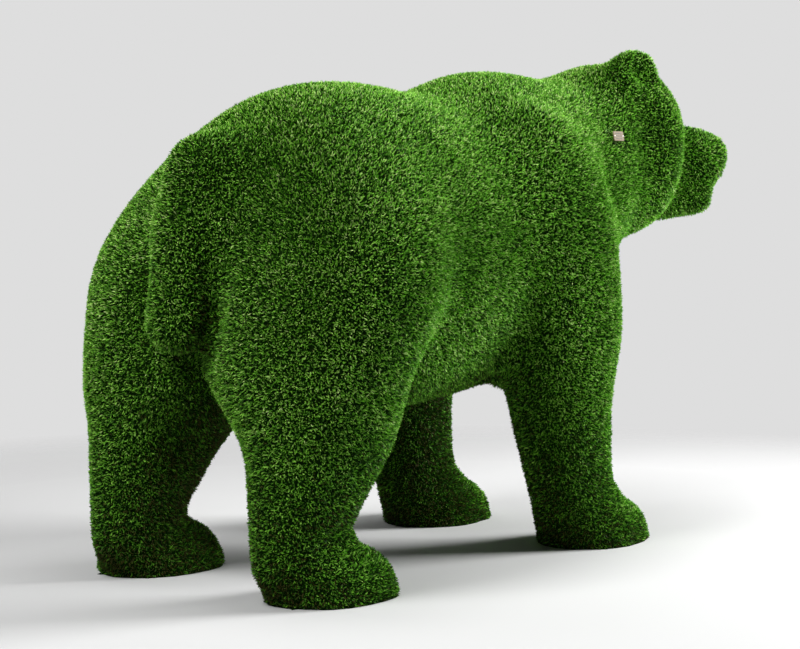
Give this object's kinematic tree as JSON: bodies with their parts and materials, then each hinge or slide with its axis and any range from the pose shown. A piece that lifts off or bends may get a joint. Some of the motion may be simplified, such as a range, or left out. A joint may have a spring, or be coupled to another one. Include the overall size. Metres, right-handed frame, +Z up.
{
  "type": "topiary bear figure",
  "caption": "Life-size walking bear covered in short green artificial turf, standing on flat soles, with a thick tail, its head turned to one side and a small tag on its neck.",
  "frame": {"origin": "on the floor under the soles, at the middle of the figure's bounding box", "axes": "+X forward towards the nose, +Y to the bear's left, +Z up"},
  "size_m": [2.299, 1.1436, 1.5297],
  "materials": {
    "turf": "short bristly artificial turf pile, matt, green in several shades",
    "tag": "satin tan plate"
  },
  "bodies": {
    "root": {"turf_bear": "turf", "neck_tag": "tag"}
  },
  "joints": []
}
